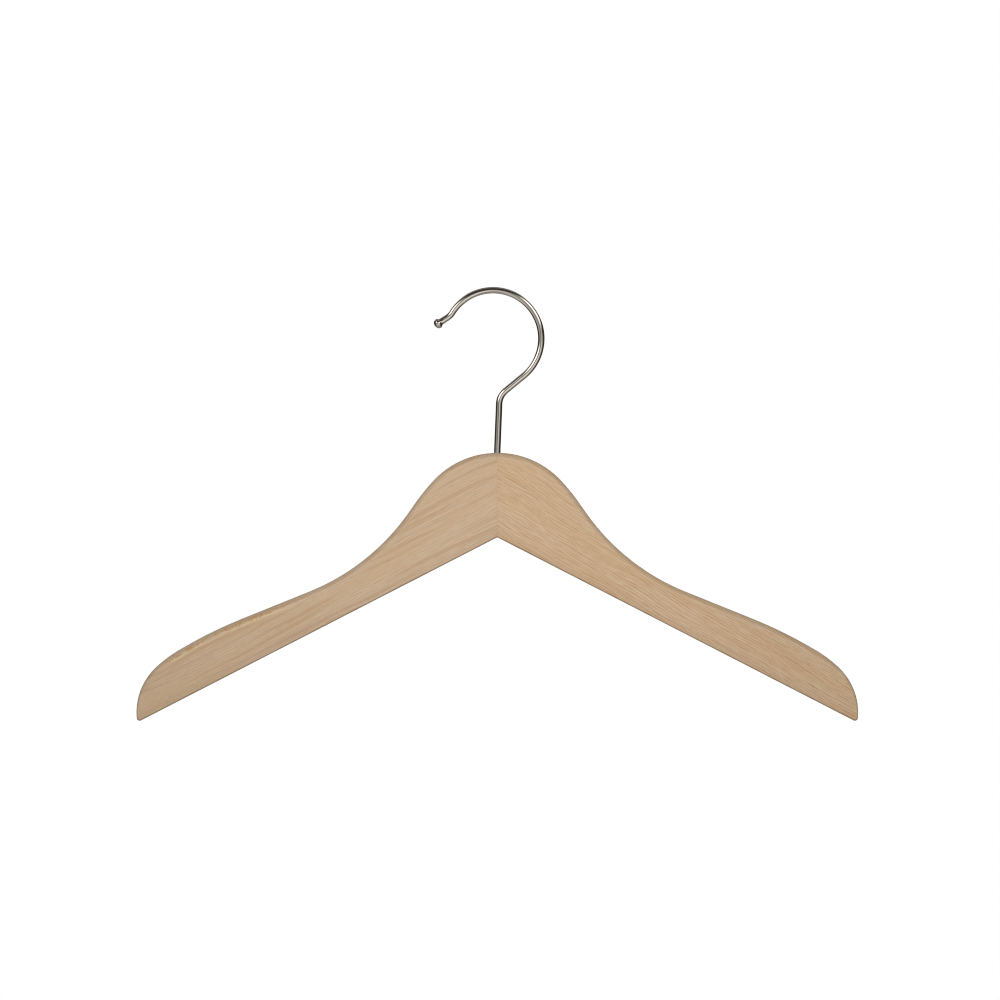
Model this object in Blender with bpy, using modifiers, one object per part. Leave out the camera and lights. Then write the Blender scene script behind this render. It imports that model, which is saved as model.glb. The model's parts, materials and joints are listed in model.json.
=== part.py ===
"""A flat beech clothes hanger with a swivelling wire hook, each piece its own solid.

Metres, +Z up, +X along the width, +Y through the thickness. The origin is the rail seat, the
underside of the top of the hook, where the hanger rests on a rail. Every piece is drawn from
one drawing origin, the apex of the notch under the neck. It lies on the upright swivel axis.
"""

import math
from collections import namedtuple

import bmesh
import bpy
from mathutils import Matrix

MM = 0.001
GAP = 0.3 * MM  # between pieces that touch in the real hanger

# A path is a chain of straight runs and tangent arcs. A turn is in degrees, and positive
# from +X towards +Z.
Run = namedtuple("Run", "length")
Arc = namedtuple("Arc", "radius turn")

# Wooden arms
THICKNESS = 12 * MM
NECK_HEIGHT = 44.6 * MM  # from the apex of the notch to the crown
NOTCH_SLOPE = 27.2  # degrees that each lower edge falls towards the tip
CROWN_ARC = Arc(46 * MM, -47)
NOSE_ARC = Arc(32.5 * MM, -51)
UPPER_EDGE = (
    CROWN_ARC,
    Arc(110 * MM, -8),
    Run(6 * MM),
    Arc(118 * MM, 33),  # hollow between the neck and the arm
    Run(38.4 * MM),
    Arc(240 * MM, -9),
    Arc(68 * MM, -12),
    NOSE_ARC,
)
TIP_RADIUS = 1.6 * MM
UPPER_ROUNDING = 2.9 * MM
LOWER_ROUNDING = 1.0 * MM

# Comb joint between the arms. Each layer, from mid thickness outwards, says how far the left
# arm reaches past the joint line, and where the layer ends.
Layer = namedtuple("Layer", "reach outer")
FINGER_LENGTH = 5 * MM
COMB_LAYERS = (
    Layer(0, 2.4 * MM),  # butted, as the bore runs through it
    Layer(FINGER_LENGTH, 3.6 * MM),  # the left arm's finger
    Layer(-FINGER_LENGTH, 4.8 * MM),  # the right arm's finger
    Layer(0, THICKNESS),  # butted, so that the faces show one straight line
)

# Bore for the stem, and the counterbore below it for the washer and the nut
WIRE_RADIUS = 1.75 * MM
BORE_RADIUS = WIRE_RADIUS + GAP
COUNTERBORE_RADIUS = 4.3 * MM
COUNTERBORE_TOP = 9 * MM

# Washer and hexagon nut for a 3.5 mm thread
WASHER_OUTER_RADIUS = 4.0 * MM
WASHER_INNER_RADIUS = 1.85 * MM
WASHER_THICKNESS = 0.5 * MM
NUT_ACROSS_FLATS = 6.0 * MM
NUT_HEIGHT = 2.8 * MM
NUT_CHAMFER_SLOPE = 30  # degrees

WASHER_TOP = COUNTERBORE_TOP - GAP
NUT_TOP = WASHER_TOP - WASHER_THICKNESS - GAP
NUT_BOTTOM = NUT_TOP - NUT_HEIGHT

# Hook, one wire from the end of its stem to its ball
STEM_BOTTOM = NUT_BOTTOM - 1.0 * MM
STEM_CHAMFER = 0.5 * MM
UPRIGHT_TOP = NECK_HEIGHT + 1.0 * MM
HOOK_ARC = Arc(25.5 * MM, 198.2)
HOOK_WIRE = (
    Run(UPRIGHT_TOP - STEM_BOTTOM - STEM_CHAMFER),
    Arc(20 * MM, -2.3),  # the free part of the stem leans a little
    Run(24.2 * MM),
    Arc(9.5 * MM, -48.4),
    Run(12.2 * MM),
    HOOK_ARC,
    Arc(9 * MM, -24.3),  # the end flicks outwards
    Run(4.15 * MM),
)
BALL_RADIUS = 2.7 * MM  # across the wire
BALL_HALF_LENGTH = 2.15 * MM  # along the wire
BALL_STEPS = 9
BALL_LAST_ANGLE = 168  # degrees from the wire's side to the flat left at the ball's end

OUTLINE_STEP = 4  # degrees between points on the wood's arcs
WIRE_STEP = 6  # degrees between points on the wire's arcs
ROUND_STEPS = 32  # sides of a turned piece or a round hole
SWEEP = 300 * MM  # how far a cutter reaches, past every edge of the wood


def follow(start, heading, moves, arc_step):
    """Return the points along a path in the XZ plane, its last heading and its arcs' centres."""
    x, z = start
    points = [start]
    centres = {}
    for move in moves:
        angle = math.radians(heading)
        if isinstance(move, Run):
            x += move.length * math.cos(angle)
            z += move.length * math.sin(angle)
            points.append((x, z))
            continue
        side = math.copysign(move.radius, move.turn)
        centre_x = x - side * math.sin(angle)
        centre_z = z + side * math.cos(angle)
        centres[move] = (centre_x, centre_z)
        steps = max(2, math.ceil(abs(move.turn) / arc_step))
        for step in range(1, steps + 1):
            angle = math.radians(heading + move.turn * step / steps)
            x = centre_x + side * math.sin(angle)
            z = centre_z - side * math.cos(angle)
            points.append((x, z))
        heading += move.turn
    return points, heading, centres


def arm_outline():
    """Return the outline of the right arm from the crown round the tip to the apex."""
    upper, heading, _ = follow((0, NECK_HEIGHT), 0, UPPER_EDGE, OUTLINE_STEP)
    # The nose runs on straight towards the lower edge, and a small arc rounds that corner.
    nose_x, nose_z = upper[-1]
    fall = math.tan(math.radians(NOTCH_SLOPE))
    down = math.radians(heading)
    to_corner = -(nose_z + nose_x * fall) / (math.sin(down) + math.cos(down) * fall)
    corner_turn = -180 - NOTCH_SLOPE - heading
    cut_back = TIP_RADIUS * math.tan(math.radians(-corner_turn) / 2)
    tip_moves = (Run(to_corner - cut_back), Arc(TIP_RADIUS, corner_turn))
    tip, _, _ = follow(upper[-1], heading, tip_moves, 5 * OUTLINE_STEP)
    return upper + tip[1:] + [(0, 0)]


def comb_cutter_outline(side):
    """Return the XY outline of all that isn't one arm's: side is -1 for left, 1 for right.

    Each arm is set back half a gap from the true joint, across it and between the fingers.
    """
    half = []
    for layer, beyond in zip(COMB_LAYERS, COMB_LAYERS[1:]):
        left_is_outside = math.copysign(1, beyond.reach - layer.reach)
        step_y = layer.outer - side * left_is_outside * GAP / 2
        half.append((layer.reach + side * GAP / 2, step_y))
        half.append((beyond.reach + side * GAP / 2, step_y))
    half.append((side * GAP / 2, THICKNESS))
    across = [(x, -y) for x, y in reversed(half)] + half
    return across + [(-side * SWEEP, THICKNESS), (-side * SWEEP, -THICKNESS)]


def hook_line():
    """Return (x, z, radius) along the hook's centreline, and the (x, z) of the rail seat."""
    start = (0, STEM_BOTTOM + STEM_CHAMFER)
    line, heading, centres = follow(start, 90, HOOK_WIRE, WIRE_STEP)
    points = [(0, STEM_BOTTOM, WIRE_RADIUS - STEM_CHAMFER)]
    points += [(x, z, WIRE_RADIUS) for x, z in line]
    # The ball is upset from the wire's end: an ellipsoid, from where it is as thin as the
    # wire to just short of its pole.
    end_x, end_z = line[-1]
    along = math.radians(heading)
    first = math.asin(WIRE_RADIUS / BALL_RADIUS)
    last = math.radians(BALL_LAST_ANGLE)
    for step in range(1, BALL_STEPS + 1):
        angle = first + (last - first) * step / BALL_STEPS
        reach = BALL_HALF_LENGTH * (math.cos(first) - math.cos(angle))
        x = end_x + reach * math.cos(along)
        z = end_z + reach * math.sin(along)
        points.append((x, z, BALL_RADIUS * math.sin(angle)))
    centre_x, centre_z = centres[HOOK_ARC]
    return points, (centre_x, centre_z + HOOK_ARC.radius - WIRE_RADIUS)


def new_collection(name):
    collection = bpy.data.collections.new(name)
    bpy.context.scene.collection.children.link(collection)
    return collection


def new_material(name, colour, metallic, roughness):
    material = bpy.data.materials.new(name)
    material.use_nodes = True
    shader = material.node_tree.nodes["Principled BSDF"]
    shader.inputs["Base Color"].default_value = (*colour, 1)
    shader.inputs["Metallic"].default_value = metallic
    shader.inputs["Roughness"].default_value = roughness
    material.diffuse_color = (*colour, 1)
    return material


def new_empty(name, collection, location):
    empty = bpy.data.objects.new(name, None)
    empty.empty_display_size = 20 * MM
    empty.location = location
    collection.objects.link(empty)
    return empty


def new_object(name, data, collection, parent, material=None):
    obj = bpy.data.objects.new(name, data)
    collection.objects.link(obj)
    obj.parent = parent
    if material:
        data.materials.append(material)
    return obj


def as_cutter(obj):
    obj.hide_render = True
    obj.display_type = "WIRE"
    return obj


def new_cutter(name, mesh, collection, parent):
    return as_cutter(new_object(name, mesh, collection, parent))


def extruded_mesh(name, outline, depth):
    """Return the solid of a flat XY outline, extruded along Z to both sides."""
    curve = bpy.data.curves.new(name, "CURVE")
    curve.dimensions = "2D"
    curve.fill_mode = "BOTH"
    curve.extrude = depth / 2
    spline = curve.splines.new("POLY")
    spline.points.add(len(outline) - 1)
    for point, (x, y) in zip(spline.points, outline):
        point.co = (x, y, 0, 1)
    spline.use_cyclic_u = True
    drawing = bpy.data.objects.new(name, curve)
    bpy.context.scene.collection.objects.link(drawing)
    graph = bpy.context.evaluated_depsgraph_get()
    mesh = bpy.data.meshes.new_from_object(drawing.evaluated_get(graph))
    bpy.data.objects.remove(drawing)
    bpy.data.curves.remove(curve)
    shape = bmesh.new()
    shape.from_mesh(mesh)
    bmesh.ops.remove_doubles(shape, verts=shape.verts, dist=0.001 * MM)
    flat = math.radians(0.1)
    bmesh.ops.dissolve_limit(shape, angle_limit=flat, verts=shape.verts, edges=shape.edges)
    bmesh.ops.recalc_face_normals(shape, faces=shape.faces)
    shape.to_mesh(mesh)
    shape.free()
    return mesh


def prism_mesh(name, sides, radius, bottom, top):
    """Return an upright prism round the swivel axis: a cylinder if it has many sides."""
    mesh = bpy.data.meshes.new(name)
    shape = bmesh.new()
    bmesh.ops.create_cone(
        shape,
        cap_ends=True,
        segments=sides,
        radius1=radius,
        radius2=radius,
        depth=top - bottom,
        matrix=Matrix.Translation((0, 0, (top + bottom) / 2)),
    )
    shape.to_mesh(mesh)
    shape.free()
    return mesh


def turned_object(name, profile, closed, collection, parent, material=None):
    """Turn a profile of (radius, height) points, listed down its outer side, about the axis."""
    points = [(radius, 0, height) for radius, height in profile]
    edges = [(index, index + 1) for index in range(len(points) - 1)]
    if closed:
        edges.append((len(points) - 1, 0))
    mesh = bpy.data.meshes.new(name)
    mesh.from_pydata(points, edges, [])
    obj = new_object(name, mesh, collection, parent, material)
    screw = obj.modifiers.new("turned", "SCREW")
    screw.steps = ROUND_STEPS
    screw.render_steps = ROUND_STEPS
    screw.use_merge_vertices = True
    screw.merge_threshold = 0.001 * MM
    return obj


def add_boolean(obj, cutter, operation="DIFFERENCE"):
    boolean = obj.modifiers.new(cutter.name, "BOOLEAN")
    boolean.operation = operation
    boolean.object = cutter


def weigh_rounded_edges(mesh, nose_height):
    """Weigh the edges round both faces of the blank for the Bevel that rounds them.

    The upper edge has the full rounding. It eases off round the nose to the lower edge's.
    """
    nose_bottom, nose_top = nose_height
    lower_weight = LOWER_ROUNDING / UPPER_ROUNDING
    fall = math.tan(math.radians(NOTCH_SLOPE))
    shape = bmesh.new()
    shape.from_mesh(mesh)
    weights = shape.edges.layers.float.new("bevel_weight_edge")
    for edge in shape.edges:
        first, second = (vertex.co for vertex in edge.verts)
        if abs(first.z - second.z) > GAP:
            continue  # an edge through the thickness
        middle = (first + second) / 2
        share = min(1, max(0, (middle.y - nose_bottom) / (nose_top - nose_bottom)))
        if middle.y + abs(middle.x) * fall < TIP_RADIUS:
            share = 0  # on the lower edge
        edge[weights] = lower_weight + (1 - lower_weight) * share
    shape.to_mesh(mesh)
    shape.free()


def make_wood_blank():
    """Return both arms as one flat mesh in its XY plane, with its edges weighed."""
    half = arm_outline()
    outline = half + [(-x, z) for x, z in reversed(half[1:-1])]
    mesh = extruded_mesh("wood_blank", outline, THICKNESS)
    _, _, centres = follow((0, NECK_HEIGHT), 0, UPPER_EDGE, OUTLINE_STEP)
    nose_bottom = centres[NOSE_ARC][1]
    weigh_rounded_edges(mesh, (nose_bottom, nose_bottom + NOSE_ARC.radius))
    mesh.shade_smooth()
    mesh.set_sharp_from_angle(angle=math.radians(35))
    return mesh


def make_arm(name, side, blank, hole_cutters, collection, cutters, frame, material):
    """Make one arm: the blank, rounded, less the other arm and the holes for the hook."""
    arm = new_object(name, blank.copy(), collection, frame, material)
    arm.rotation_euler.x = math.radians(90)
    rounding = arm.modifiers.new("rounding", "BEVEL")
    rounding.limit_method = "WEIGHT"
    rounding.width = UPPER_ROUNDING
    rounding.segments = 4
    comb = extruded_mesh(name + "_comb", comb_cutter_outline(side), 2 * SWEEP)
    add_boolean(arm, new_cutter(name + "_comb", comb, cutters, frame))
    for cutter in hole_cutters:
        add_boolean(arm, cutter)


def make_arms(collection, cutters, frame):
    blank = make_wood_blank()
    bore = prism_mesh("bore", ROUND_STEPS, BORE_RADIUS, 0, 2 * NECK_HEIGHT)
    counterbore = prism_mesh(
        "counterbore", ROUND_STEPS, COUNTERBORE_RADIUS, -NECK_HEIGHT, COUNTERBORE_TOP
    )
    holes = [new_cutter(mesh.name, mesh, cutters, frame) for mesh in (bore, counterbore)]
    left_beech = new_material("left_beech", (0.60, 0.44, 0.27), 0, 0.5)
    right_beech = new_material("right_beech", (0.62, 0.43, 0.25), 0, 0.5)
    make_arm("left_arm", -1, blank, holes, collection, cutters, frame, left_beech)
    make_arm("right_arm", 1, blank, holes, collection, cutters, frame, right_beech)
    bpy.data.meshes.remove(blank)


def make_washer(collection, frame):
    bottom = WASHER_TOP - WASHER_THICKNESS
    profile = (
        (WASHER_OUTER_RADIUS, WASHER_TOP),
        (WASHER_OUTER_RADIUS, bottom),
        (WASHER_INNER_RADIUS, bottom),
        (WASHER_INNER_RADIUS, WASHER_TOP),
    )
    zinc = new_material("washer_zinc", (0.62, 0.63, 0.66), 1, 0.35)
    turned_object("thrust_washer", profile, True, collection, frame, zinc)


def make_nut(collection, cutters, frame):
    """Make the hexagon nut, its corners chamfered by a turned shape that it is kept within."""
    corner_radius = NUT_ACROSS_FLATS / math.sqrt(3)
    hexagon = prism_mesh("hook_nut", 6, corner_radius, NUT_BOTTOM, NUT_TOP)
    zinc = new_material("nut_zinc", (0.60, 0.61, 0.64), 1, 0.3)
    nut = new_object("hook_nut", hexagon, collection, frame, zinc)
    # The shape is two cones base to base, which cut into nothing but the corners.
    slope = math.tan(math.radians(NUT_CHAMFER_SLOPE))
    face_radius = 0.95 * NUT_ACROSS_FLATS / 2
    profile = (
        (0, NUT_TOP + face_radius * slope),
        (face_radius + NUT_HEIGHT / 2 / slope, (NUT_TOP + NUT_BOTTOM) / 2),
        (0, NUT_BOTTOM - face_radius * slope),
    )
    chamfers = as_cutter(turned_object("nut_chamfers", profile, False, cutters, frame))
    add_boolean(nut, chamfers, "INTERSECT")
    thread = prism_mesh("nut_thread", ROUND_STEPS, BORE_RADIUS, 0, NECK_HEIGHT)
    add_boolean(nut, new_cutter("nut_thread", thread, cutters, frame))


def make_hook(points, collection, frame):
    curve = bpy.data.curves.new("swivel_hook", "CURVE")
    curve.dimensions = "3D"
    curve.fill_mode = "FULL"
    curve.bevel_depth = WIRE_RADIUS
    curve.bevel_resolution = 4
    curve.use_fill_caps = True
    spline = curve.splines.new("POLY")
    spline.points.add(len(points) - 1)
    for point, (x, z, radius) in zip(spline.points, points):
        point.co = (x, 0, z, 1)
        point.radius = radius / WIRE_RADIUS
    nickel = new_material("hook_nickel", (0.66, 0.62, 0.56), 1, 0.18)
    new_object("swivel_hook", curve, collection, frame, nickel)


def build():
    for old in list(bpy.data.objects):
        bpy.data.objects.remove(old)
    parts = new_collection("clothes_hanger")
    cutters = new_collection("cutters")
    wire_points, (seat_x, seat_z) = hook_line()
    drawing_origin = (-seat_x, 0, -seat_z)
    # The wood and its washer turn about the first empty's Z axis. The hook and its nut don't.
    turning = new_empty("swivel_axis", parts, drawing_origin)
    fixed = new_empty("hook_stem", parts, drawing_origin)
    make_arms(parts, cutters, turning)
    make_washer(parts, turning)
    make_nut(parts, cutters, fixed)
    make_hook(wire_points, parts, fixed)


build()
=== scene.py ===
"""The looks of the beech clothes hanger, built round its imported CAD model.

Metres, +Z up. Every piece is drawn in the drawing frame of the CAD source: its origin is the
apex of the notch under the neck, on the swivel axis. Each piece's object stands at that apex,
so object coordinates in the materials are drawing coordinates.
"""

import json
import math
from collections import namedtuple

import bmesh
import bpy
from mathutils import Matrix, Vector


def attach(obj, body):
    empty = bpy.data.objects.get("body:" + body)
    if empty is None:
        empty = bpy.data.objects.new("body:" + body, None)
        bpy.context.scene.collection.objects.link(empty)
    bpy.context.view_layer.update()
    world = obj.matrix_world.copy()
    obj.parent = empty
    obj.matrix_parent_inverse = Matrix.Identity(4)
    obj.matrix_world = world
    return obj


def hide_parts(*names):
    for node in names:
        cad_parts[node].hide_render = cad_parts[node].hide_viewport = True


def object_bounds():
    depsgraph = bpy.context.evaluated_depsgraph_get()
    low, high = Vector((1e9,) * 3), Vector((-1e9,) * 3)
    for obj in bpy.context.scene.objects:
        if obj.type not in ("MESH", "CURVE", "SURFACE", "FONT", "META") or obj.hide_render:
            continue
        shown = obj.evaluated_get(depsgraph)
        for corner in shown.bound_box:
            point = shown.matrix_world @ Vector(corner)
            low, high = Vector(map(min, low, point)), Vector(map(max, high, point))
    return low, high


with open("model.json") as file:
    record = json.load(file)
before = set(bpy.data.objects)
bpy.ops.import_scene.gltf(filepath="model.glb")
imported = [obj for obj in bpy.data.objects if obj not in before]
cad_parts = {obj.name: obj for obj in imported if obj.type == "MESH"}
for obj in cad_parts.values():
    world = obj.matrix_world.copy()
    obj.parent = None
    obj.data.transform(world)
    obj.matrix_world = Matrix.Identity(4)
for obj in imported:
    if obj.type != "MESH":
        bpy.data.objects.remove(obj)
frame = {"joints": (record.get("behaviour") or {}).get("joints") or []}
cad_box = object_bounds()

MM = 0.001

# A path is a chain of straight runs and tangent arcs. A turn is in degrees, and positive
# from +X towards +Z.
Run = namedtuple("Run", "length")
Arc = namedtuple("Arc", "radius turn")
Station = namedtuple("Station", "x z heading")

# Wooden arms
THICKNESS = 12 * MM
NECK_HEIGHT = 44.6 * MM  # from the apex of the notch to the crown
NOTCH_SLOPE = 27.2  # degrees that each lower edge falls towards the tip
BACK_ARC = Arc(240 * MM, -9)  # the long upper arc of the arm
NOSE_ARC = Arc(32.5 * MM, -51)
UPPER_EDGE = (
    Arc(46 * MM, -47),
    Arc(110 * MM, -8),
    Run(6 * MM),
    Arc(118 * MM, 33),  # hollow between the neck and the arm
    Run(38.4 * MM),
    BACK_ARC,
    Arc(68 * MM, -12),
    NOSE_ARC,
)
TIP_RADIUS = 1.6 * MM
TIP_ARC_STEP = 8.0  # degrees between points on the tip's small round
UPPER_ROUNDING = 2.9 * MM
LOWER_ROUNDING = 1.0 * MM
ROUNDING_STEPS = 8
GLUE_LINE = 0.05 * MM

# Comb joint between the arms. Each layer, from mid thickness outwards, says how far the left
# arm reaches past the joint line, and where the layer ends.
Layer = namedtuple("Layer", "reach outer")
FINGER_LENGTH = 5 * MM
COMB_LAYERS = (
    Layer(0, 2.4 * MM),
    Layer(FINGER_LENGTH, 3.6 * MM),
    Layer(-FINGER_LENGTH, 4.8 * MM),
    Layer(0, THICKNESS),
)

# Bore for the stem, and the counterbore below it for the washer and the nut
WIRE_RADIUS = 1.75 * MM
BORE_RADIUS = WIRE_RADIUS + 0.15 * MM
COUNTERBORE_RADIUS = 4.3 * MM
COUNTERBORE_TOP = 9 * MM

# Washer and hexagon nut
GAP = 0.3 * MM  # between the two, and between them and the wood, as in the CAD model
WASHER_OUTER_RADIUS = 4.0 * MM
WASHER_INNER_RADIUS = 1.85 * MM
WASHER_THICKNESS = 0.5 * MM
WASHER_EDGE = 0.12 * MM  # radius of its upper edges
WASHER_EDGE_STEPS = 4
NUT_ACROSS_FLATS = 6.0 * MM
NUT_HEIGHT = 2.8 * MM
NUT_CHAMFER_SLOPE = 30  # degrees
NUT_FACE_SHARE = 0.95  # of the width across flats that is left flat at each end
COUNTERSINK_REACH = WIRE_RADIUS + 0.8 * MM  # radius of the cone's base and depth of its tip
COUNTERSINK_OVERLAP = 0.6 * MM  # how far the cone's base stands out of the nut
WASHER_TOP = COUNTERBORE_TOP - GAP
NUT_TOP = WASHER_TOP - WASHER_THICKNESS - GAP
NUT_BOTTOM = NUT_TOP - NUT_HEIGHT

# Hook, one wire from the end of its stem to its ball
STEM_BOTTOM = NUT_BOTTOM - 1.0 * MM
STEM_CHAMFER = 0.5 * MM
HOOK_WIRE = (
    Run(NECK_HEIGHT + 1.0 * MM - STEM_BOTTOM),
    Arc(20 * MM, -2.3),
    Run(24.2 * MM),
    Arc(9.5 * MM, -48.4),
    Run(12.2 * MM),
    Arc(25.5 * MM, 198.2),  # over the rail
    Arc(9 * MM, -24.3),
    Run(4.15 * MM),
)
BALL_RADIUS = 2.7 * MM
BALL_HALF_LENGTH = 2.15 * MM
BALL_NECK = 0.35 * MM  # how softly the wire runs into the ball
BALL_NECK_SWELLING = BALL_NECK / 4  # what it adds to the wire's radius at the ball
BALL_STEPS = 28
BALL_POLE_GAP = 0.02  # radians between the ball's last ring and its pole
THREAD_PITCH = 0.6 * MM
THREAD_DEPTH = 0.33 * MM
THREAD_CREST = 0.15  # share of half a pitch that is flat on the crest
THREAD_FLANK = 0.7  # share of half a pitch that slopes
THREAD_LENGTH = 9 * MM
THREAD_CLEARANCE = 0.03 * MM

ARC_STEP = 1.0  # degrees between points on an arc
RUN_STEP = 1.0 * MM
THREAD_STEP = THREAD_PITCH / 10
WIRE_SIDES = 40
ROUND_STEPS = 96
SWEEP = 300 * MM  # how far a cutter reaches, past every edge of the wood
WELD_DISTANCE = 0.001 * MM  # points closer than this are one point

joint = next(j for j in frame["joints"] if j["name"] == "hook_swivel")
APEX = Vector(joint["pos_m"]) - Vector((0, 0, NECK_HEIGHT))
SEAT_X = -APEX.x  # the rail seat, which is the origin of the frame, in the drawing frame


# ---------------------------------------------------------------- paths


def follow(start, heading, moves, arc_step=ARC_STEP, run_step=None):
    """Return the stations along a path in the XZ plane, and its arcs' centres."""
    x, z = start
    stations = [Station(x, z, heading)]
    centres = {}
    for move in moves:
        angle = math.radians(heading)
        if isinstance(move, Run):
            pieces = max(1, math.ceil(move.length / run_step)) if run_step else 1
            for _ in range(pieces):
                x += move.length / pieces * math.cos(angle)
                z += move.length / pieces * math.sin(angle)
                stations.append(Station(x, z, heading))
            continue
        side = math.copysign(move.radius, move.turn)
        centre_x = x - side * math.sin(angle)
        centre_z = z + side * math.cos(angle)
        centres[move] = (centre_x, centre_z)
        steps = max(2, math.ceil(abs(move.turn) / arc_step))
        for step in range(1, steps + 1):
            here = heading + move.turn * step / steps
            angle = math.radians(here)
            x = centre_x + side * math.sin(angle)
            z = centre_z - side * math.cos(angle)
            stations.append(Station(x, z, here))
        heading += move.turn
    return stations, centres


def arm_outline():
    """Return the (x, z) outline of the right arm from the crown round the tip to the apex."""
    upper, _ = follow((0, NECK_HEIGHT), 0, UPPER_EDGE)
    nose = upper[-1]
    fall = math.tan(math.radians(NOTCH_SLOPE))
    down = math.radians(nose.heading)
    to_corner = -(nose.z + nose.x * fall) / (math.sin(down) + math.cos(down) * fall)
    corner_turn = -180 - NOTCH_SLOPE - nose.heading
    cut_back = TIP_RADIUS * math.tan(math.radians(-corner_turn) / 2)
    tip_moves = (Run(to_corner - cut_back), Arc(TIP_RADIUS, corner_turn))
    tip, _ = follow((nose.x, nose.z), nose.heading, tip_moves, TIP_ARC_STEP)
    return [(station.x, station.z) for station in upper + tip[1:]] + [(0, 0)]


def comb_cutter_outline(side):
    """Return the XY outline of all that isn't one arm's: side is -1 for left, 1 for right."""
    half = []
    for layer, beyond in zip(COMB_LAYERS, COMB_LAYERS[1:]):
        left_is_outside = math.copysign(1, beyond.reach - layer.reach)
        step_y = layer.outer - side * left_is_outside * GLUE_LINE / 2
        half.append((layer.reach + side * GLUE_LINE / 2, step_y))
        half.append((beyond.reach + side * GLUE_LINE / 2, step_y))
    half.append((side * GLUE_LINE / 2, THICKNESS))
    across = [(x, -y) for x, y in reversed(half)] + half
    return across + [(-side * SWEEP, THICKNESS), (-side * SWEEP, -THICKNESS)]


# ---------------------------------------------------------------- meshes


def link(name, mesh):
    obj = bpy.data.objects.new(name, mesh)
    bpy.context.scene.collection.objects.link(obj)
    return obj


def mesh_from(shape, name):
    mesh = bpy.data.meshes.new(name)
    shape.to_mesh(mesh)
    shape.free()
    return mesh


def extruded_mesh(name, outline, depth):
    """Return the solid of a flat XY outline, extruded along Z to both sides."""
    curve = bpy.data.curves.new(name, "CURVE")
    curve.dimensions = "2D"
    curve.fill_mode = "BOTH"
    curve.extrude = depth / 2
    spline = curve.splines.new("POLY")
    spline.points.add(len(outline) - 1)
    for point, (x, y) in zip(spline.points, outline):
        point.co = (x, y, 0, 1)
    spline.use_cyclic_u = True
    drawing = link(name, curve)
    graph = bpy.context.evaluated_depsgraph_get()
    mesh = bpy.data.meshes.new_from_object(drawing.evaluated_get(graph))
    bpy.data.objects.remove(drawing)
    bpy.data.curves.remove(curve)
    shape = bmesh.new()
    shape.from_mesh(mesh)
    bmesh.ops.remove_doubles(shape, verts=shape.verts, dist=WELD_DISTANCE)
    flat = math.radians(0.1)
    bmesh.ops.dissolve_limit(shape, angle_limit=flat, verts=shape.verts, edges=shape.edges)
    bmesh.ops.recalc_face_normals(shape, faces=shape.faces)
    shape.to_mesh(mesh)
    shape.free()
    return mesh


def prism_mesh(name, sides, radius, bottom, top):
    """Return an upright prism round the swivel axis: a cylinder if it has many sides."""
    shape = bmesh.new()
    bmesh.ops.create_cone(
        shape,
        cap_ends=True,
        segments=sides,
        radius1=radius,
        radius2=radius,
        depth=top - bottom,
        matrix=Matrix.Translation((0, 0, (top + bottom) / 2)),
    )
    return mesh_from(shape, name)


def turned_mesh(name, profile):
    """Turn a closed or pole-to-pole profile of (radius, height) points about the swivel axis."""
    shape = bmesh.new()
    points = [shape.verts.new((radius, 0, height)) for radius, height in profile]
    if profile[0][0] > 0:
        points.append(points[0])
    edges = [shape.edges.new(pair) for pair in zip(points, points[1:])]
    bmesh.ops.spin(
        shape,
        geom=list(shape.verts) + edges,
        cent=(0, 0, 0),
        axis=(0, 0, 1),
        angle=math.tau,
        steps=ROUND_STEPS,
    )
    bmesh.ops.remove_doubles(shape, verts=shape.verts, dist=WELD_DISTANCE)
    bmesh.ops.recalc_face_normals(shape, faces=shape.faces)
    return mesh_from(shape, name)


def swept_mesh(name, rings):
    """Join closed rings of points, each one further along a wire, and cap both ends."""
    shape = bmesh.new()
    rows = [[shape.verts.new(point) for point in ring] for ring in rings]
    for row, after in zip(rows, rows[1:]):
        for index in range(len(row)):
            following = (index + 1) % len(row)
            shape.faces.new((row[index], row[following], after[following], after[index]))
    shape.faces.new(reversed(rows[0]))
    shape.faces.new(rows[-1])
    bmesh.ops.recalc_face_normals(shape, faces=shape.faces)
    return mesh_from(shape, name)


def add_boolean(obj, cutter, operation="DIFFERENCE"):
    boolean = obj.modifiers.new(cutter.name, "BOOLEAN")
    boolean.operation = operation
    boolean.object = cutter


def apply_modifiers(obj, cutters=()):
    """Turn what the modifiers make into the object's own mesh, and remove the cutters."""
    graph = bpy.context.evaluated_depsgraph_get()
    mesh = bpy.data.meshes.new_from_object(obj.evaluated_get(graph))
    mesh.transform(obj.matrix_world)
    obj.modifiers.clear()
    obj.matrix_world = Matrix.Identity(4)
    obj.data = mesh
    for cutter in cutters:
        bpy.data.objects.remove(cutter)


def smooth(obj, sharp_angle):
    """Shade smooth except at the real edges, and keep flat faces flat up to their borders."""
    obj.data.shade_smooth()
    obj.data.set_sharp_from_angle(angle=math.radians(sharp_angle))
    weighted = obj.modifiers.new("flat_faces_stay_flat", "WEIGHTED_NORMAL")
    weighted.keep_sharp = True
    apply_modifiers(obj)


def place(obj, body, node, material):
    """Put a finished piece in the frame in place of its CAD node."""
    obj.location = APEX
    obj.data.materials.clear()
    obj.data.materials.append(material)
    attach(obj, body)
    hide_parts(node)


# ---------------------------------------------------------------- wooden arms


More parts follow.
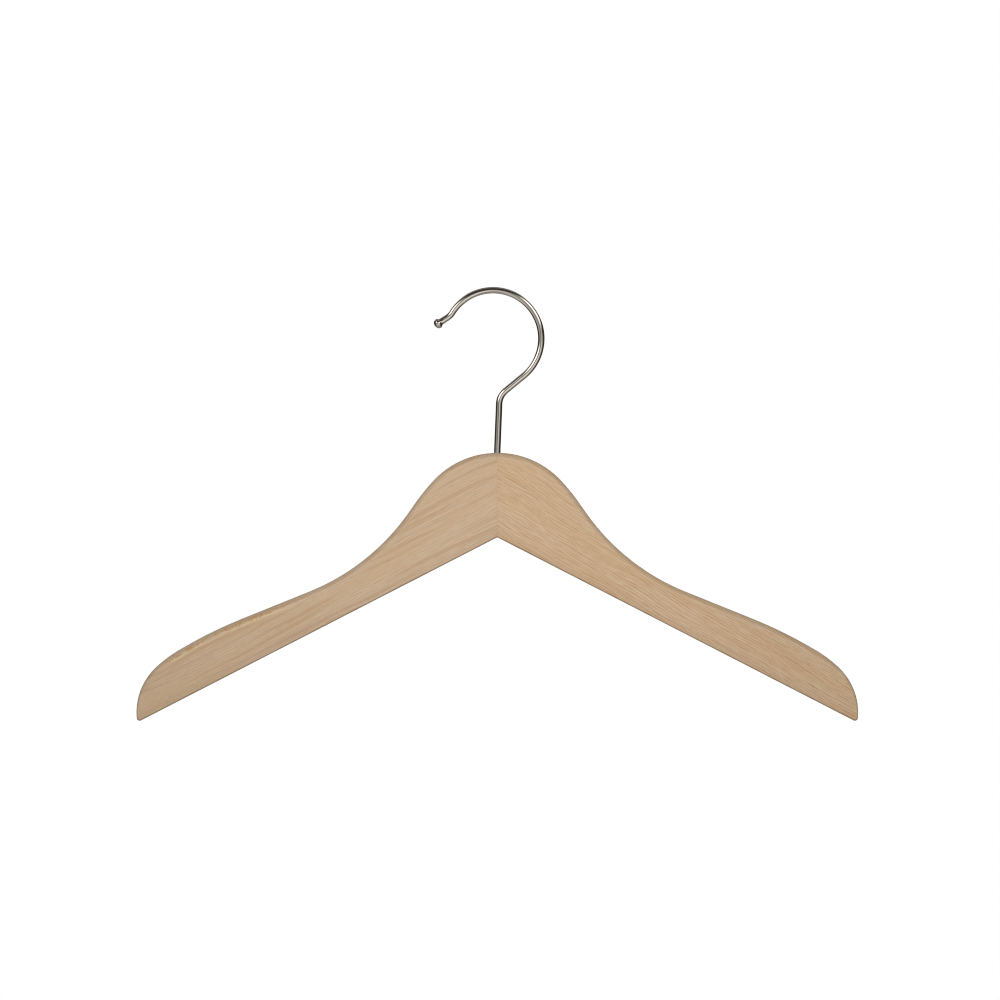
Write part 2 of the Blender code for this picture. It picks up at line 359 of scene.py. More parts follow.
def weigh_rounded_edges(mesh):
    """Weigh the edges round both faces of the blank for the Bevel that rounds them.

    The upper edge has the full rounding. It eases off round the nose to the lower edge's.
    """
    _, centres = follow((0, NECK_HEIGHT), 0, UPPER_EDGE)
    nose_bottom = centres[NOSE_ARC][1]
    lower_weight = LOWER_ROUNDING / UPPER_ROUNDING
    fall = math.tan(math.radians(NOTCH_SLOPE))
    shape = bmesh.new()
    shape.from_mesh(mesh)
    weights = shape.edges.layers.float.new("bevel_weight_edge")
    for edge in shape.edges:
        first, second = (vertex.co for vertex in edge.verts)
        if abs(first.z - second.z) > THICKNESS / 2:
            continue  # an edge through the thickness
        middle = (first + second) / 2
        share = min(1, max(0, (middle.y - nose_bottom) / NOSE_ARC.radius))
        if middle.y + abs(middle.x) * fall < TIP_RADIUS:
            share = 0  # on the lower edge
        edge[weights] = lower_weight + (1 - lower_weight) * share
    shape.to_mesh(mesh)
    shape.free()


def make_arm(name, side, material):
    """Make one arm from the whole blank: side is -1 for left, 1 for right."""
    half = arm_outline()
    outline = half + [(-x, z) for x, z in reversed(half[1:-1])]
    blank = extruded_mesh(name, outline, THICKNESS)
    weigh_rounded_edges(blank)
    arm = link(name, blank)
    arm.rotation_euler.x = math.radians(90)
    rounding = arm.modifiers.new("rounding", "BEVEL")
    rounding.limit_method = "WEIGHT"
    rounding.width = UPPER_ROUNDING
    rounding.segments = ROUNDING_STEPS
    rounding.use_clamp_overlap = False  # the tip's short edges would narrow it everywhere
    cutters = [
        link("comb", extruded_mesh("comb", comb_cutter_outline(side), 2 * SWEEP)),
        link("bore", prism_mesh("bore", ROUND_STEPS, BORE_RADIUS, 0, 2 * NECK_HEIGHT)),
        link(
            "counterbore",
            prism_mesh(
                "counterbore", ROUND_STEPS, COUNTERBORE_RADIUS, -NECK_HEIGHT, COUNTERBORE_TOP
            ),
        ),
    ]
    for cutter in cutters:
        add_boolean(arm, cutter)
    bpy.context.view_layer.update()
    apply_modifiers(arm, cutters)
    smooth(arm, sharp_angle=30)
    place(arm, "arms", "left_arm" if side < 0 else "right_arm", material)


# ---------------------------------------------------------------- hook, washer and nut


def thread_radius(radius, along, around, start, length):
    """Return the radius of a rolled thread at one point of its rod."""
    turns = (along - start) / THREAD_PITCH - around / math.tau
    from_crest = abs(2 * (turns % 1) - 1)
    depth = min(1, max(0, (from_crest - THREAD_CREST) / THREAD_FLANK))
    run_out = min(1, max(0, (start + length - along) / (2 * THREAD_PITCH)))
    return radius - THREAD_DEPTH * depth * run_out


def threaded_rod_mesh(name, radius, bottom, top):
    """Return an upright rod whose thread is in step with the thread on the stem."""
    rings = []
    rows = math.ceil((top - bottom) / THREAD_STEP)
    for row in range(rows + 1):
        height = bottom + (top - bottom) * row / rows
        ring = []
        for index in range(WIRE_SIDES):
            around = math.tau * index / WIRE_SIDES
            reach = thread_radius(radius, height, around, STEM_BOTTOM, 2 * THREAD_LENGTH)
            ring.append((reach * math.cos(around), reach * math.sin(around), height))
        rings.append(ring)
    return swept_mesh(name, rings)


def wire_stations():
    """Return (station, length so far) along the hook's centreline, in finer steps on the thread."""
    thread = Run(THREAD_LENGTH)
    upright = Run(HOOK_WIRE[0].length - THREAD_LENGTH)
    start, _ = follow((0, STEM_BOTTOM), 90, (thread,), run_step=THREAD_STEP)
    foot = start[-1]
    rest, _ = follow((foot.x, foot.z), 90, (upright, *HOOK_WIRE[1:]), run_step=RUN_STEP)
    stations = start + rest[1:]
    lengths = [0.0]
    for before, after in zip(stations, stations[1:]):
        lengths.append(lengths[-1] + math.hypot(after.x - before.x, after.z - before.z))
    return list(zip(stations, lengths))


def ball_stations(end, length):
    """Return (station, length so far, radius) from the end of the wire over its ball."""
    first = math.asin(WIRE_RADIUS / BALL_RADIUS)
    last = math.pi - BALL_POLE_GAP
    heading = math.radians(end.heading)
    found = []
    for step in range(1, BALL_STEPS + 1):
        angle = first + (last - first) * step / BALL_STEPS
        reach = BALL_HALF_LENGTH * (math.cos(first) - math.cos(angle))
        x = end.x + reach * math.cos(heading)
        z = end.z + reach * math.sin(heading)
        radius = BALL_RADIUS * math.sin(angle)
        found.append((Station(x, z, end.heading), length + reach, radius))
    return found


def wire_radius(along, length):
    """Return the wire's radius: chamfered at its foot, and swelling softly into the ball."""
    chamfered = WIRE_RADIUS - max(0, STEM_CHAMFER - along)
    return chamfered + BALL_NECK_SWELLING * math.exp(-(length - along) / BALL_NECK)


def hook_rings():
    """Return the rings of the hook's mesh, and for each its length along the wire."""
    wire = wire_stations()
    end, length = wire[-1]
    rows = [(station, along, wire_radius(along, length)) for station, along in wire]
    rows += ball_stations(end, length)
    rings = []
    for station, along, radius in rows:
        heading = math.radians(station.heading)
        ring = []
        for index in range(WIRE_SIDES):
            around = math.tau * index / WIRE_SIDES
            reach = radius
            if along < THREAD_LENGTH:
                cut = thread_radius(WIRE_RADIUS, along, around, 0, THREAD_LENGTH)
                reach = min(radius, cut)
            side = reach * math.cos(around)
            x = station.x + side * math.sin(heading)
            z = station.z - side * math.cos(heading)
            ring.append((x, reach * math.sin(around), z))
        rings.append(ring)
    return rings, [along for _, along, _ in rows]


def make_hook(material):
    """Make the hook, with its wire's straight coordinates in an attribute of its mesh."""
    rings, lengths = hook_rings()
    mesh = swept_mesh("nickel_hook", rings)
    # Where each point would be if the wire were straight, for the drawing marks along it
    straight = mesh.attributes.new("straight_wire", "FLOAT_VECTOR", "POINT")
    for row, along in enumerate(lengths):
        for index in range(WIRE_SIDES):
            around = math.tau * index / WIRE_SIDES
            place_on_wire = (math.cos(around) * WIRE_RADIUS, math.sin(around) * WIRE_RADIUS, along)
            straight.data[row * WIRE_SIDES + index].vector = place_on_wire
    mesh.shade_smooth()
    mesh.set_sharp_from_angle(angle=math.radians(50))
    place(link("nickel_hook", mesh), "hook", "swivel_hook", material)


def make_washer(material):
    """Make the washer: punched, so its upper edges are rounded and its lower ones sharp."""
    bottom = WASHER_TOP - WASHER_THICKNESS
    profile = [(WASHER_INNER_RADIUS, bottom), (WASHER_OUTER_RADIUS, bottom)]
    corners = ((WASHER_OUTER_RADIUS, -1, 0), (WASHER_INNER_RADIUS, 1, 90))
    for radius, inwards, first in corners:
        for step in range(WASHER_EDGE_STEPS + 1):
            angle = math.radians(first + 90 * step / WASHER_EDGE_STEPS)
            x = radius + inwards * WASHER_EDGE + WASHER_EDGE * math.cos(angle)
            profile.append((x, WASHER_TOP - WASHER_EDGE + WASHER_EDGE * math.sin(angle)))
    washer = link("zinc_washer", turned_mesh("zinc_washer", profile))
    smooth(washer, sharp_angle=30)
    place(washer, "arms", "thrust_washer", material)


def nut_chamfers():
    """Return two cones, base to base, which cut back the corners of the nut."""
    slope = math.tan(math.radians(NUT_CHAMFER_SLOPE))
    face_radius = NUT_FACE_SHARE * NUT_ACROSS_FLATS / 2
    profile = (
        (0, NUT_TOP + face_radius * slope),
        (face_radius + NUT_HEIGHT / 2 / slope, (NUT_TOP + NUT_BOTTOM) / 2),
        (0, NUT_BOTTOM - face_radius * slope),
    )
    return link("chamfers", turned_mesh("chamfers", profile))


def nut_countersink(name, face, inwards):
    """Return the cone that cuts the countersink at one end of the thread.

    Inwards is -1 where the cone points down into the nut, and 1 where it points up.
    """
    base = face - inwards * COUNTERSINK_OVERLAP
    profile = [(0, face + inwards * COUNTERSINK_REACH), (COUNTERSINK_REACH, base), (0, base)]
    if inwards > 0:
        profile.reverse()
    return link(name, turned_mesh(name, profile))


def make_nut(material):
    """Make the hexagon nut: corners chamfered, threaded, and countersunk at both ends."""
    corner_radius = NUT_ACROSS_FLATS / math.sqrt(3)
    nut = link("zinc_nut", prism_mesh("zinc_nut", 6, corner_radius, NUT_BOTTOM, NUT_TOP))
    chamfers = nut_chamfers()
    rod_radius = WIRE_RADIUS + THREAD_CLEARANCE
    rod = threaded_rod_mesh("thread", rod_radius, NUT_BOTTOM - MM, NUT_TOP + MM)
    cutters = [
        link("thread", rod),
        nut_countersink("upper", NUT_TOP, -1),
        nut_countersink("lower", NUT_BOTTOM, 1),
    ]
    add_boolean(nut, chamfers, "INTERSECT")
    for cutter in cutters:
        add_boolean(nut, cutter)
    bpy.context.view_layer.update()
    apply_modifiers(nut, (chamfers, *cutters))
    smooth(nut, sharp_angle=25)
    place(nut, "hook", "hook_nut", material)


# ---------------------------------------------------------------- materials

# One kind of beech: the slope of its grain in degrees, its tone, and how strongly its light
# lines, growth bands, rays and fibres show
Grain = namedtuple("Grain", "slope tone light_lines bands rays fibres")
LEFT_GRAIN = Grain(
    slope=27, tone=(0.638, 0.474, 0.316), light_lines=0.65, bands=0.75, rays=0.40, fibres=0.12
)
RIGHT_GRAIN = Grain(
    slope=31, tone=(0.650, 0.470, 0.300), light_lines=0.85, bands=0.30, rays=0.65, fibres=0.12
)
LINE_SPACING = 1.2  # millimetres between the fine lines of the grain

EDGE_PAINTED_SHADE = (0.90, 0.905, 0.92, 1)  # painted shade on wood that turns away from the faces, where less light reaches it
UNDERSIDE_PAINTED_SHADE = (0.76, 0.72, 0.68, 1)  # painted shade on the rounding under each lower edge, where little light comes from below
LOW_TONE = (0.91, 0.89, 0.88, 1)  # of the band of wood over each lower edge
LOW_BAND = 7.0  # millimetres

# The pale seam of the left arm, in millimetres: where it starts, is full, is still full, and
# ends. The first is along the grain from the apex, the next three below the upper edge.
LEFT_SEAM = (100, 124, 178, 194)
SEAM_FLECKS = (0.9, 1.4, 2.6, 3.4)
SEAM_LINE = (2.3, 3.2, 3.5, 4.3)
SEAM_BROWN_BAND = (4.0, 4.7, 5.0, 7.0)
SEAM_BROWN_START = (124, 142)  # along the grain, where the brown band starts and is full
SEAM_COLOUR = (0.82, 0.62, 0.36, 1)
FLECK_COLOUR = (0.50, 0.27, 0.10, 1)

DARK_NICKEL = (0.62, 0.575, 0.51, 1)
LIGHT_NICKEL = (0.74, 0.69, 0.62, 1)
WORN_NICKEL = (0.56, 0.52, 0.46, 1)


class Shader:
    """One material's node tree, with short ways to add the nodes used here."""

    def __init__(self, tree):
        self.tree = tree

    def put(self, socket, value):
        if isinstance(value, bpy.types.NodeSocket):
            self.tree.links.new(value, socket)
        else:
            socket.default_value = value

    def node(self, kind, inputs, **settings):
        node = self.tree.nodes.new(kind)
        for key, value in settings.items():
            setattr(node, key, value)
        for name, value in inputs.items():
            self.put(node.inputs[name], value)
        return node

    def maths(self, operation, *values):
        inputs = dict(enumerate(values))
        return self.node("ShaderNodeMath", inputs, operation=operation).outputs[0]

    def times(self, *values):
        """Return the product of two or more values."""
        product, *others = values
        for value in others:
            product = self.maths("MULTIPLY", product, value)
        return product

    def vectors(self, operation, *values):
        """Return the vector that an operation on vectors gives."""
        inputs = dict(enumerate(values))
        return self.node("ShaderNodeVectorMath", inputs, operation=operation).outputs[0]

    def measure(self, operation, *values):
        """Return the number that an operation on vectors gives, such as a length."""
        inputs = dict(enumerate(values))
        return self.node("ShaderNodeVectorMath", inputs, operation=operation).outputs["Value"]

    def ramp(self, value, start, end, low=0.0, high=1.0):
        """Return low before start, high after end, and a smooth step in between."""
        inputs = {"Value": value, 1: start, 2: end, 3: low, 4: high}
        node = self.node("ShaderNodeMapRange", inputs, interpolation_type="SMOOTHSTEP")
        return node.outputs[0]

    def fade(self, value, start, end):
        """Return 1 before start, 0 after end, and a smooth step in between."""
        return self.ramp(value, start, end, 1.0, 0.0)

    def band(self, value, start, full, still_full, end):
        """Return 1 in a band of the value and 0 outside it, with smooth steps at its sides."""
        return self.times(self.ramp(value, start, full), self.fade(value, still_full, end))

    def noise(self, vector, cell, detail=2.0):
        """Return noise from 0 to 1 whose lumps are as large as cell = (x, y, z)."""
        scaled = self.vectors("DIVIDE", vector, cell)
        inputs = {"Vector": scaled, "Scale": 1.0, "Detail": detail}
        return self.node("ShaderNodeTexNoise", inputs).outputs["Fac"]

    def spindles(self, vector, cell, thin, thick):
        """Return spindle-shaped marks, one to a cell, and a random value for each."""
        scaled = self.vectors("DIVIDE", vector, cell)
        node = self.node("ShaderNodeTexVoronoi", {"Vector": scaled, "Scale": 1.0})
        mark = self.fade(node.outputs["Distance"], thin, thick)
        chance = self.node("ShaderNodeSeparateColor", {0: node.outputs["Color"]})
        return mark, chance.outputs[0]

    def mix(self, share, first, second, blend="MIX"):
        node = self.node("ShaderNodeMix", {}, data_type="RGBA", blend_type=blend)
        self.put(node.inputs[0], share)
        self.put(node.inputs[6], first)
        self.put(node.inputs[7], second)
        return node.outputs[2]

    def bump(self, height, strength, distance):
        inputs = {"Height": height, "Strength": strength, "Distance": distance}
        return self.node("ShaderNodeBump", inputs).outputs[0]

    def in_millimetres(self, turn=0.0):
        """Return drawing coordinates in millimetres, turned in the XZ plane by degrees."""
        place_in_drawing = self.node("ShaderNodeTexCoord", {}).outputs["Object"]
        inputs = {
            "Vector": place_in_drawing,
            "Rotation": (0, math.radians(turn), 0),
            "Scale": (1 / MM,) * 3,
        }
        return self.node("ShaderNodeMapping", inputs).outputs[0]

    def split(self, vector):
        return self.node("ShaderNodeSeparateXYZ", {0: vector}).outputs

    def combine(self, x=0.0, y=0.0, z=0.0):
        return self.node("ShaderNodeCombineXYZ", {0: x, 1: y, 2: z}).outputs[0]

    def normal(self):
        """Return the surface normal in drawing coordinates."""
        return self.node("ShaderNodeTexCoord", {}).outputs["Normal"]


def new_material(name):
    """Return a new material, its Shader and its Principled BSDF."""
    material = bpy.data.materials.new(name)
    material.use_nodes = True
    tree = material.node_tree
    return material, Shader(tree), tree.nodes["Principled BSDF"]


def shade(tone, red, green, blue):
    """Return a tone with each of its channels scaled."""
    return (tone[0] * red, tone[1] * green, tone[2] * blue, 1)


def grain_coordinates(shader, turn):
    """Return millimetres with X along the grain, which wanders a little, and Y through the arm."""
    straight = shader.in_millimetres(turn)
    wander = shader.maths("MULTIPLY_ADD", shader.noise(straight, (60, 30, 25), 1.0), 6.0, -3.0)
    return shader.vectors("ADD", straight, shader.combine(z=wander))


def grain_lines(shader, grain):
    """Return the strengths of the fine dark and light lines, which run along X of the grain.

    They are the edges of thin layers that lie at 45 degrees to the faces of the arm.
    """
    ripple = shader.times(shader.noise(grain, (30, 3.0, 3.5), 2.0), 16.0)
    _, depth, level = shader.split(grain)
    layer = shader.maths("ADD", depth, level)
    phase = shader.maths("MULTIPLY_ADD", layer, math.tau / LINE_SPACING, ripple)
    wave = shader.maths("SINE", phase)
    strength = shader.noise(grain, (7, 1.5, 0.9), 2.0)
    dark = shader.times(shader.ramp(wave, 0.0, 1.0), shader.ramp(strength, 0.32, 0.60))
    light = shader.times(shader.fade(wave, -1.0, 0.0), shader.fade(strength, 0.36, 0.64))
    return dark, light


def ray_marks(shader, grain, dark_lines):
    """Return the dark lines with the rays, which are short darker dashes, some of them strong."""
    dashes, chance = shader.spindles(grain, (4.5, 1.5, 1.0), 0.05, 0.40)
    dashes = shader.times(dashes, shader.ramp(chance, 0.2, 1.0))
    return shader.maths("MULTIPLY_ADD", dashes, 0.5, dark_lines)


def beech_figure(shader, grain, look, light_lines, rays, fine):
    """Return the colour of the wood, with one kind of mark laid over the other."""
    zones = shader.ramp(shader.noise(grain, (70, 30, 9), 1.0), 0.4, 0.66)
    bands = shader.ramp(shader.noise(grain, (75, 5, 2.8), 1.5), 0.48, 0.66)
    layers = (
        (light_lines, look.light_lines, (1.12, 1.18, 1.30)),
        (zones, 0.5, (1.0, 0.95, 0.84)),
        (bands, look.bands, (0.88, 0.79, 0.72)),
        (rays, look.rays, (0.80, 0.60, 0.40)),
        (fine, look.fibres, (0.6, 0.48, 0.36)),
    )
    colour = (*look.tone, 1)
    for marks, strength, channels in layers:
        colour = shader.mix(shader.times(marks, strength), colour, shade(look.tone, *channels))
    return colour


def add_end_grain(shader, colour, grain, turn, tone):
    """Darken and dot the surfaces that are cut across the fibres, which run along the turn."""
    fibre = (math.cos(math.radians(turn)), 0, math.sin(math.radians(turn)))
    slant = shader.maths("ABSOLUTE", shader.measure("DOT_PRODUCT", shader.normal(), fibre))
    cut = shader.ramp(slant, 0.62, 0.92)
    dots = shader.ramp(shader.noise(grain, (2.5, 0.4, 0.4), 2.0), 0.42, 0.62)
    colour = shader.mix(shader.times(cut, 0.7), colour, shade(tone, 0.92, 0.86, 0.80))
    return shader.mix(shader.times(cut, dots, 0.45), colour, shade(tone, 0.72, 0.60, 0.48))


def paint_edge_shade_and_tone(shader, colour, side, tone):
    """Darken the wood low down, paint shade where it turns away from the faces and under each lower
    edge, and add a paler line just before it turns.
    """
    _, _, height = shader.split(shader.in_millimetres(-side * NOTCH_SLOPE))
    colour = shader.mix(shader.fade(height, 0.0, LOW_BAND), colour, LOW_TONE, "MULTIPLY")
    across, facing, upright = shader.split(shader.normal())
    turned = shader.measure("LENGTH", shader.combine(x=across, z=upright))
    # Painted shade: the rounded edges darken as they turn away from the front light
    colour = shader.mix(shader.ramp(turned, 0.0, 0.35), colour, EDGE_PAINTED_SHADE, "MULTIPLY")
    facing = shader.maths("ABSOLUTE", facing)
    # Painted shade where the rounding faces down, away from the light
    underside_shade = shader.times(shader.fade(upright, -0.5, -0.1), shader.ramp(facing, 0.1, 0.6))
    colour = shader.mix(underside_shade, colour, UNDERSIDE_PAINTED_SHADE, "MULTIPLY")
    border = shader.band(facing, 0.98, 0.994, 0.998, 0.99999)
    return shader.mix(shader.times(border, 0.3), colour, shade(tone, 1.2, 1.2, 1.2))


def depth_below_back(shader, side):
    """Return how many millimetres deep a point lies below the long upper arc of its arm.

    Nearer the neck, where the edge is straight, it is the depth below that straight edge.
    """
    _, centres = follow((0, NECK_HEIGHT), 0, UPPER_EDGE)
    centre_x, centre_z = centres[BACK_ARC]
    centre = (side * centre_x / MM, 0, centre_z / MM)
    x, _, z = shader.split(shader.in_millimetres())
    away = shader.measure("DISTANCE", shader.combine(x=x, z=z), centre)
    depth = shader.maths("SUBTRACT", BACK_ARC.radius / MM, away)
    to_arc, _ = follow((0, NECK_HEIGHT), 0, UPPER_EDGE[:UPPER_EDGE.index(BACK_ARC)])
    arc_start = to_arc[-1]
    before = shader.maths("SUBTRACT", arc_start.x / MM, shader.maths("ABSOLUTE", x))
    before = shader.maths("MAXIMUM", before, 0.0)
    before = shader.maths("DIVIDE", before, math.cos(math.radians(arc_start.heading)))
    square = shader.times(before, before)
    return shader.maths("MULTIPLY_ADD", square, MM / (2 * BACK_ARC.radius), depth)


def add_pale_seam(shader, colour, grain, side, seam, tone):
    """Add a pale yellow seam, with brown flecks over it and a brown band under it."""
    along, _, _ = shader.split(grain)
    from_apex = shader.times(along, side)
    here = shader.band(from_apex, *seam)
    depth = depth_below_back(shader, side)
    brown = shader.times(shader.band(depth, *SEAM_BROWN_BAND), here, 0.9)
    brown = shader.times(brown, shader.ramp(from_apex, *SEAM_BROWN_START))
    colour = shader.mix(brown, colour, shade(tone, 0.90, 0.80, 0.72))
    broken = shader.ramp(shader.noise(grain, (7, 2, 1.5), 2.0), 0.30, 0.52, 0.3, 1.0)
    pale = shader.times(shader.band(depth, *SEAM_LINE), here, broken, 0.55)
    colour = shader.mix(pale, colour, SEAM_COLOUR)
    flecks = shader.ramp(shader.noise(grain, (2.0, 0.9, 0.8), 2.0), 0.46, 0.58)
    flecks = shader.times(flecks, shader.band(depth, *SEAM_FLECKS), here, 0.7)
    return shader.mix(flecks, colour, FLECK_COLOUR)


def beech(name, side, look, seam=None):
    """Return beech, its grain nearly along the arm: side is -1 for left, 1 for right."""
    material, shader, surface = new_material(name)
    turn = -side * look.slope
    grain = grain_coordinates(shader, turn)
    dark_lines, light_lines = grain_lines(shader, grain)
    rays = ray_marks(shader, grain, dark_lines)
    fibres = shader.noise(grain, (6, 0.2, 0.2), 3.0)
    pores, _ = shader.spindles(grain, (1.8, 0.28, 0.28), 0.1, 0.35)
    fine = shader.maths("MULTIPLY_ADD", pores, 0.6, fibres)

    colour = beech_figure(shader, grain, look, light_lines, rays, fine)
    colour = add_end_grain(shader, colour, grain, turn, look.tone)
    colour = paint_edge_shade_and_tone(shader, colour, side, look.tone)
    if seam:
        colour = add_pale_seam(shader, colour, grain, side, seam, look.tone)
    shader.put(surface.inputs["Base Color"], colour)
    roughness = shader.maths("MULTIPLY_ADD", fibres, 0.16, 0.40)
    roughness = shader.maths("MULTIPLY_ADD", rays, -0.06, roughness)
    shader.put(surface.inputs["Roughness"], roughness)
    relief = shader.maths("MULTIPLY_ADD", pores, -0.6, fibres)
    relief = shader.maths("MULTIPLY_ADD", rays, 0.3, relief)
    shader.put(surface.inputs["Normal"], shader.bump(relief, 0.35, 0.05 * MM))
    surface.inputs["IOR"].default_value = 1.48
    surface.inputs["Coat Weight"].default_value = 0.12
    surface.inputs["Coat Roughness"].default_value = 0.35
    return material


def seat_wear(shader, coordinates):
    """Return how worn the wire is: scratches under the hook's top, where it sits on the rail."""
    x, _, _ = shader.split(coordinates)
    _, _, up = shader.split(shader.normal())
    from_seat = shader.maths("ABSOLUTE", shader.maths("SUBTRACT", x, SEAT_X / MM))
    underneath = shader.fade(up, -0.75, -0.2)
    scratches = shader.ramp(shader.noise(coordinates, (0.35, 3, 0.35), 3.0), 0.48, 0.62)
    return shader.times(shader.fade(from_seat, 5.0, 15.0), underneath, scratches)


def nickel():
    """Return nickel plate on drawn wire: fine streaks along it, and rail wear at its seat."""
    material, shader, surface = new_material("nickel_plate")
    straight = shader.node("ShaderNodeAttribute", {}, attribute_name="straight_wire")
    on_wire = shader.vectors("MULTIPLY", straight.outputs["Vector"], (1 / MM,) * 3)
    streaks = shader.noise(on_wire, (0.22, 0.22, 9), 3.0)
    clouds = shader.noise(on_wire, (3, 3, 7), 2.0)
    wear = seat_wear(shader, shader.in_millimetres())
    tint = shader.maths("MULTIPLY_ADD", streaks, 0.5, shader.times(clouds, 0.5))
    colour = shader.mix(tint, DARK_NICKEL, LIGHT_NICKEL)
    colour = shader.mix(shader.times(wear, 0.5), colour, WORN_NICKEL)
    shader.put(surface.inputs["Base Color"], colour)
    roughness = shader.maths("MULTIPLY_ADD", streaks, 0.06, 0.09)
    roughness = shader.maths("MULTIPLY_ADD", wear, 0.22, roughness)
    shader.put(surface.inputs["Roughness"], roughness)
    relief = shader.maths("MULTIPLY_ADD", wear, -0.5, streaks)
    shader.put(surface.inputs["Normal"], shader.bump(relief, 0.12, 0.01 * MM))
    surface.inputs["Metallic"].default_value = 1.0
    return material


def zinc(name, tone, dull_tone, marks):
    """Return zinc plate, cloudy and a little scratched.

    The marks are the size of its scratches along X, Y and Z, in millimetres.
    """
    material, shader, surface = new_material(name)
    place_in_drawing = shader.in_millimetres()
    clouds = shader.ramp(shader.noise(place_in_drawing, (1.6, 1.6, 1.2), 3.0), 0.3, 0.7)
    lines = shader.noise(place_in_drawing, marks, 3.0)
    share = shader.maths("MULTIPLY_ADD", lines, 0.4, shader.times(clouds, 0.6))
    shader.put(surface.inputs["Base Color"], shader.mix(share, (*tone, 1), (*dull_tone, 1)))
    roughness = shader.maths("MULTIPLY_ADD", clouds, 0.16, 0.22)
    roughness = shader.maths("MULTIPLY_ADD", lines, 0.12, roughness)
    shader.put(surface.inputs["Roughness"], roughness)
    shader.put(surface.inputs["Normal"], shader.bump(lines, 0.2, 0.01 * MM))
    surface.inputs["Metallic"].default_value = 1.0
    return material


# ---------------------------------------------------------------- studio

Patch = namedtuple("Patch", "azimuth elevation inner outer strength")

# Round soft patches that the wire mirrors, in degrees: azimuth 0 is where the camera stands and
# 90 is +X. Inner and outer are the angles from a patch's centre where it starts and ends to fade.
STUDIO_PATCHES = (
    Patch(26, 20, 7, 15, 1.8),  # two softboxes at the upper right
    Patch(50, 30, 10, 20, 1.9),
    Patch(-29, 18, 7, 15, 1.8),  # two softboxes at the upper left
    Patch(-52, 24, 10, 20, 1.8),
    Patch(14, -12, 13, 28, 0.58),  # the bright room, low on both sides of the camera
    Patch(34, -25, 16, 38, 0.42),
    Patch(-41, -27, 18, 46, 0.42),
    Patch(0, -70, 20, 60, 0.20),  # the bright room, below and behind
    Patch(180, 60, 25, 60, 0.20),
    Patch(180, -60, 25, 60, 0.20),
    Patch(180, 0, 22, 34, 0.7),  # backdrop
    Patch(140, 30, 8, 16, 1.0),  # lights on the backdrop, seen from behind
    Patch(-140, 30, 8, 16, 1.0),
)
STUDIO_BASE = (0.045, 0.039, 0.034)  # what the wire mirrors everywhere else
AMBIENT = 0.42  # light from all round on what isn't mirror-like
FLOOR_DROP = 0.6  # metres under the rail seat
FLOOR_RADIUS = 1.9
FLOOR_FADE = (0.5, 1.6)  # metres from its middle where it starts to fade, and where it is white
CAMERA_DISTANCE = 2.4
FRAME_WIDTH = 528.2 * MM  # what the camera takes in, at the hanger
FRAME_CENTRE = (1.42 * MM, 19.7 * MM)  # in the drawing frame
SENSOR_WIDTH = 36.0


def direction(azimuth, elevation):
    """Return the unit vector towards that side of the studio."""
    turn = math.radians(azimuth)
    rise = math.radians(elevation)
    level = math.cos(rise)
    return Vector((math.sin(turn) * level, -math.cos(turn) * level, math.sin(rise)))


def make_world():
    """Light the studio softly, and show plain white where the camera looks past the object."""
    world = bpy.data.worlds.new("studio")
    bpy.context.scene.world = world
    world.use_nodes = True
    shader = Shader(world.node_tree)
    towards = shader.node("ShaderNodeTexCoord", {}).outputs["Generated"]
    light = STUDIO_BASE
    for patch in STUDIO_PATCHES:
        axis = direction(patch.azimuth, patch.elevation)
        nearness = shader.measure("DOT_PRODUCT", towards, axis)
        cosines = [math.cos(math.radians(angle)) for angle in (patch.outer, patch.inner)]
        glow = shader.ramp(nearness, *cosines, 0.0, patch.strength)
        light = shader.vectors("ADD", light, glow)
    path = shader.node("ShaderNodeLightPath", {}).outputs
    light = shader.mix(path["Is Diffuse Ray"], light, (AMBIENT, AMBIENT, AMBIENT, 1))
    light = shader.mix(path["Is Camera Ray"], light, (1, 1, 1, 1))
    background = world.node_tree.nodes["Background"]
    shader.put(background.inputs["Color"], light)


def make_area_light(name, azimuth, elevation, distance, size, power):
    """Add a soft light that the wire doesn't mirror."""
    light = bpy.data.lights.new(name, "AREA")
    light.shape = "DISK"
    light.size = size
    light.energy = power
    lamp = link(name, light)
    towards = direction(azimuth, elevation)
    middle = (Vector(cad_box[0]) + Vector(cad_box[1])) / 2
    lamp.location = middle + towards * distance
    lamp.rotation_euler = towards.to_track_quat("Z", "Y").to_euler()
    lamp.visible_camera = False
    lamp.visible_glossy = False


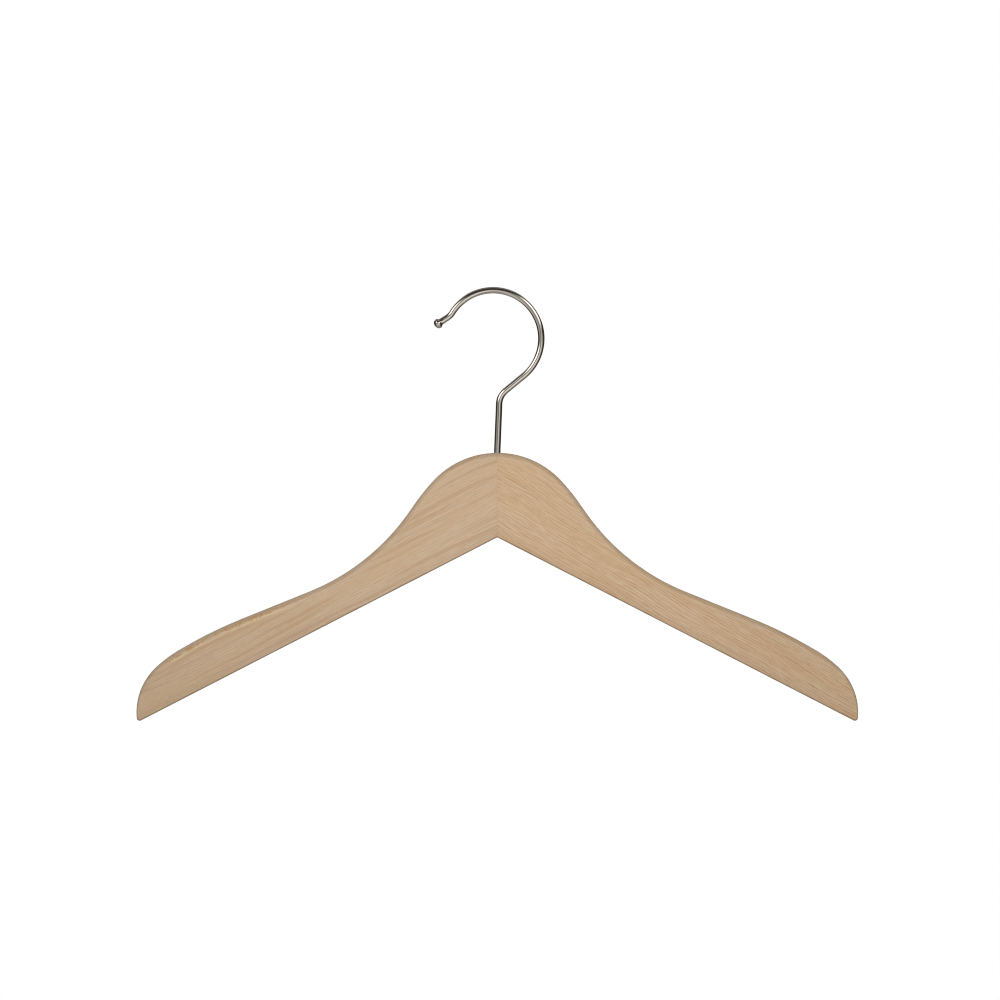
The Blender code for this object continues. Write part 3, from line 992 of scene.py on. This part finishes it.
def make_floor():
    """Make the pale floor: it fades to white at its rim, and is clear when seen from below.

    Only the camera sees it, so it doesn't light the hanger from below.
    """
    shape = bmesh.new()
    bmesh.ops.create_circle(shape, cap_ends=True, segments=64, radius=FLOOR_RADIUS)
    floor = link("studio_floor", mesh_from(shape, "studio_floor"))
    floor.location.z = -FLOOR_DROP
    for ray in ("visible_diffuse", "visible_glossy", "visible_shadow"):
        setattr(floor, ray, False)
    material, shader, surface = new_material("floor_paper")
    floor.data.materials.append(material)
    surface.inputs["Base Color"].default_value = (0.6, 0.6, 0.59, 1)
    surface.inputs["Roughness"].default_value = 1.0
    surface.inputs["Specular IOR Level"].default_value = 0.0
    surface.inputs["Emission Color"].default_value = (1, 1, 1, 1)
    surface.inputs["Emission Strength"].default_value = 0.42
    place_on_floor = shader.node("ShaderNodeTexCoord", {}).outputs["Object"]
    rim = shader.ramp(shader.measure("LENGTH", place_on_floor), *FLOOR_FADE)
    white = shader.node("ShaderNodeEmission", {"Color": (1, 1, 1, 1)}).outputs[0]
    inputs = {0: rim, 1: surface.outputs[0], 2: white}
    paper = shader.node("ShaderNodeMixShader", inputs).outputs[0]
    camera_ray = shader.node("ShaderNodeLightPath", {}).outputs["Is Camera Ray"]
    from_below = shader.node("ShaderNodeNewGeometry", {}).outputs["Backfacing"]
    clear = shader.node("ShaderNodeBsdfTransparent", {}).outputs[0]
    inputs = {0: shader.times(camera_ray, from_below), 1: paper, 2: clear}
    shown = shader.node("ShaderNodeMixShader", inputs).outputs[0]
    shader.put(material.node_tree.nodes["Material Output"].inputs["Surface"], shown)


def make_camera():
    camera = bpy.data.cameras.new("camera")
    camera.sensor_width = SENSOR_WIDTH
    camera.lens = SENSOR_WIDTH * CAMERA_DISTANCE / FRAME_WIDTH
    stand = link("camera", camera)
    centre_x, centre_z = FRAME_CENTRE
    stand.location = APEX + Vector((centre_x, -CAMERA_DISTANCE, centre_z))
    stand.rotation_euler = (math.radians(90), 0, 0)
    bpy.context.scene.camera = stand


def make_studio():
    make_camera()
    make_floor()
    make_world()
    make_area_light("front_key", azimuth=0, elevation=3, distance=0.42, size=0.3, power=0.82)
    make_area_light("back_fill", azimuth=180, elevation=8, distance=0.75, size=0.7, power=2.6)
    bpy.context.scene.view_settings.view_transform = "Standard"
    bpy.context.scene.cycles.filter_width = 1.1  # crisp edges, as in a sharpened photograph


make_studio()
make_arm("left_beech_arm", -1, beech("left_beech", -1, LEFT_GRAIN, LEFT_SEAM))
make_arm("right_beech_arm", 1, beech("right_beech", 1, RIGHT_GRAIN))
make_hook(nickel())
washer_zinc = zinc(
    "washer_zinc", tone=(0.66, 0.67, 0.70), dull_tone=(0.50, 0.51, 0.54), marks=(0.12, 0.9, 0.12)
)
nut_zinc = zinc(
    "nut_zinc", tone=(0.64, 0.65, 0.67), dull_tone=(0.47, 0.48, 0.50), marks=(0.9, 0.9, 0.10)
)
make_washer(washer_zinc)
make_nut(nut_zinc)
